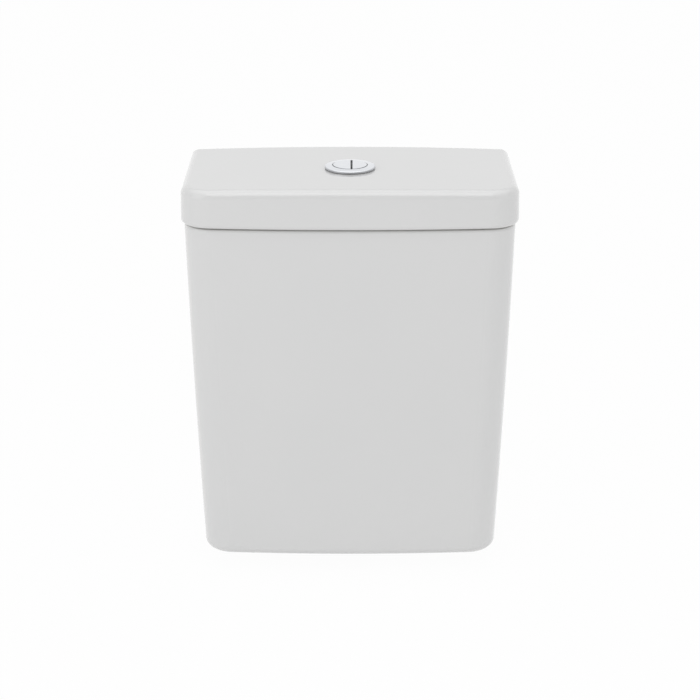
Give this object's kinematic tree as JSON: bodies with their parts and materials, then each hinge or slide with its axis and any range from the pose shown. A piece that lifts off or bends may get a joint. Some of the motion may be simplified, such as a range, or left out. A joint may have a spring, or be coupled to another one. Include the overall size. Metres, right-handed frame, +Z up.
{
  "type": "toilet cistern",
  "caption": "Close-coupled ceramic toilet cistern with a lift-off lid, dual-flush push buttons, flush valve and bottom-entry fill valve.",
  "frame": {"origin": "on the flush outlet's axis, in the plane of the base rim", "axes": "+Z up, +X to the right seen from the front, +Y to the wall"},
  "size_m": [0.3498, 0.1911, 0.4435],
  "materials": {
    "ceramic": "white vitreous glaze, glossy",
    "chrome": "polished chrome plate",
    "white_plastic": "moulded, satin",
    "grey_plastic": "moulded, satin",
    "blue_plastic": "moulded, satin",
    "rubber": "matte black rubber",
    "silicone": "matte red silicone",
    "brass": "turned brass",
    "steel": "zinc-plated"
  },
  "bodies": {
    "cistern": {"cistern_body": "ceramic", "valve_base": "white_plastic", "valve_seating_washer": "rubber", "valve_backnut": "white_plastic", "close_coupling_gasket": "rubber", "valve_tower": "white_plastic", "rocker_pins": "steel", "fixing_bolts": "brass", "bolt_rubber_washers": "rubber", "bolt_steel_washers": "steel", "bolt_nuts": "brass", "fill_shank": "white_plastic", "inlet_filter": "white_plastic", "fill_shank_washer": "rubber", "fill_backnut": "white_plastic", "fill_sleeve": "white_plastic", "fill_head": "grey_plastic", "diaphragm": "silicone", "fill_cap": "blue_plastic", "lever_pin": "steel", "inlet_plug": "white_plastic", "plug_washer": "rubber", "plug_nut": "white_plastic"},
    "lid_assembly": {"lid": "ceramic", "button_housing": "white_plastic", "button_bezel": "chrome", "button_gasket": "rubber", "button_locknut": "white_plastic", "full_button_spring": "steel", "half_button_spring": "steel"},
    "full_button": {"full_flush_button": "chrome", "full_push_rod": "white_plastic"},
    "half_button": {"half_flush_button": "chrome", "half_push_rod": "white_plastic"},
    "full_rocker": {"full_flush_rocker": "blue_plastic"},
    "half_rocker": {"half_flush_rocker": "blue_plastic"},
    "half_lifter": {"half_flush_lifter": "grey_plastic"},
    "valve": {"overflow_tube": "grey_plastic", "tube_crosshead": "grey_plastic", "seal_retainer": "white_plastic", "main_seal": "silicone", "seal_clamp_ring": "white_plastic", "valve_float": "blue_plastic"},
    "half_float": {"half_flush_float": "blue_plastic"},
    "inlet_float": {"fill_float": "blue_plastic", "float_link": "white_plastic"},
    "inlet_lever": {"fill_lever": "grey_plastic"}
  },
  "joints": [
    {"name": "lid_lift", "type": "slide", "parent": "cistern", "child": "lid_assembly", "axis": [0, 0, 1], "range_m": [0, 0.15]},
    {"name": "full_flush_press", "type": "slide", "parent": "lid_assembly", "child": "full_button", "axis": [0, 0, -1], "range_m": [0, 0.01], "stiffness_N_per_m": 250, "springref_m": -0.01, "deforming": ["full_button_spring"]},
    {"name": "half_flush_press", "type": "slide", "parent": "lid_assembly", "child": "half_button", "axis": [0, 0, -1], "range_m": [0, 0.008], "stiffness_N_per_m": 250, "springref_m": -0.01, "deforming": ["half_button_spring"]},
    {"name": "full_rocker_turn", "type": "hinge", "parent": "cistern", "child": "full_rocker", "pos_m": [-0.0246, 0, 0.316], "axis": [0, 1, 0], "range_deg": [0, 36.44]},
    {"name": "half_rocker_turn", "type": "hinge", "parent": "cistern", "child": "half_rocker", "pos_m": [0.02475, 0, 0.316], "axis": [0, -1, 0], "range_deg": [0, 28.98]},
    {"name": "half_lifter_rise", "type": "slide", "parent": "cistern", "child": "half_lifter", "axis": [0, 0, 1], "range_m": [0, 0.009]},
    {"name": "valve_lift", "type": "slide", "parent": "half_lifter", "child": "valve", "axis": [0, 0, 1], "range_m": [0, 0.014]},
    {"name": "half_float_set", "type": "slide", "parent": "cistern", "child": "half_float", "axis": [0, 0, 1], "range_m": [0, 0.07]},
    {"name": "float_rise", "type": "slide", "parent": "cistern", "child": "inlet_float", "axis": [0, 0, 1], "range_m": [0, 0.02]},
    {"name": "fill_lever_turn", "type": "hinge", "parent": "cistern", "child": "inlet_lever", "pos_m": [-0.128, 0, 0.296], "axis": [0, -1, 0], "range_deg": [0, 26.29]}
  ],
  "couplings": [
    {"joint": "full_rocker_turn", "follows": "full_flush_press", "rad_per_m": 63.565},
    {"joint": "valve_lift", "follows": "full_flush_press", "ratio": 1.4},
    {"joint": "half_rocker_turn", "follows": "half_flush_press", "rad_per_m": 63.17},
    {"joint": "half_lifter_rise", "follows": "half_flush_press", "ratio": 1.125},
    {"joint": "fill_lever_turn", "follows": "float_rise", "rad_per_m": 22.928}
  ]
}
